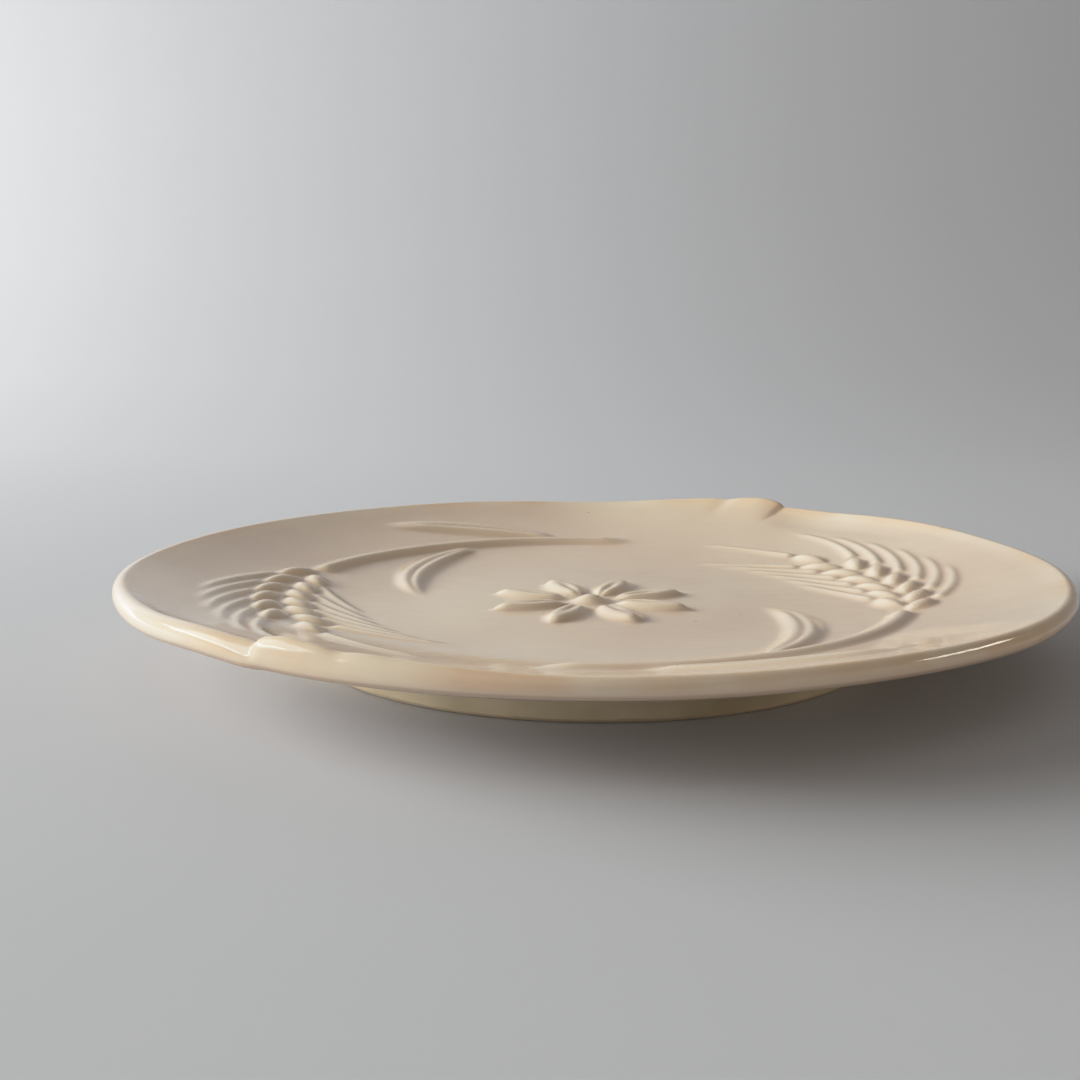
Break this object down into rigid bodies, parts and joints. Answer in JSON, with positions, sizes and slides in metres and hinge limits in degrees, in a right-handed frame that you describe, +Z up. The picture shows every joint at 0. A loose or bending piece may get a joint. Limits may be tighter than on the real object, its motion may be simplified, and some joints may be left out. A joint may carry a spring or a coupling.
{
  "type": "cake plate",
  "caption": "Round shallow cake plate with a rolled lip, raised rim laps, low wheat and rosette relief, and a foot ring.",
  "frame": {"origin": "centre of the foot ring's standing face, on the table", "axes": "+Z up out of the dish, -Y towards the viewer of the picture, +X to their right"},
  "size_m": [0.2, 0.2, 0.0212],
  "materials": {
    "cream_glaze": "gloss cream glaze",
    "foot_glaze": "thin cream glaze with a wiped standing edge"
  },
  "bodies": {
    "root": {"plate_body": "cream_glaze", "front_rim_lap": "cream_glaze", "back_rim_lap": "cream_glaze", "right_wheat_stalk": "cream_glaze", "right_wheat_ear": "cream_glaze", "right_wheat_awns": "cream_glaze", "right_wheat_leaves": "cream_glaze", "left_wheat_stalk": "cream_glaze", "left_wheat_ear": "cream_glaze", "left_wheat_awns": "cream_glaze", "left_wheat_leaves": "cream_glaze", "rosette_petals": "cream_glaze", "rosette_button": "cream_glaze", "foot_ring": "foot_glaze"}
  },
  "joints": []
}
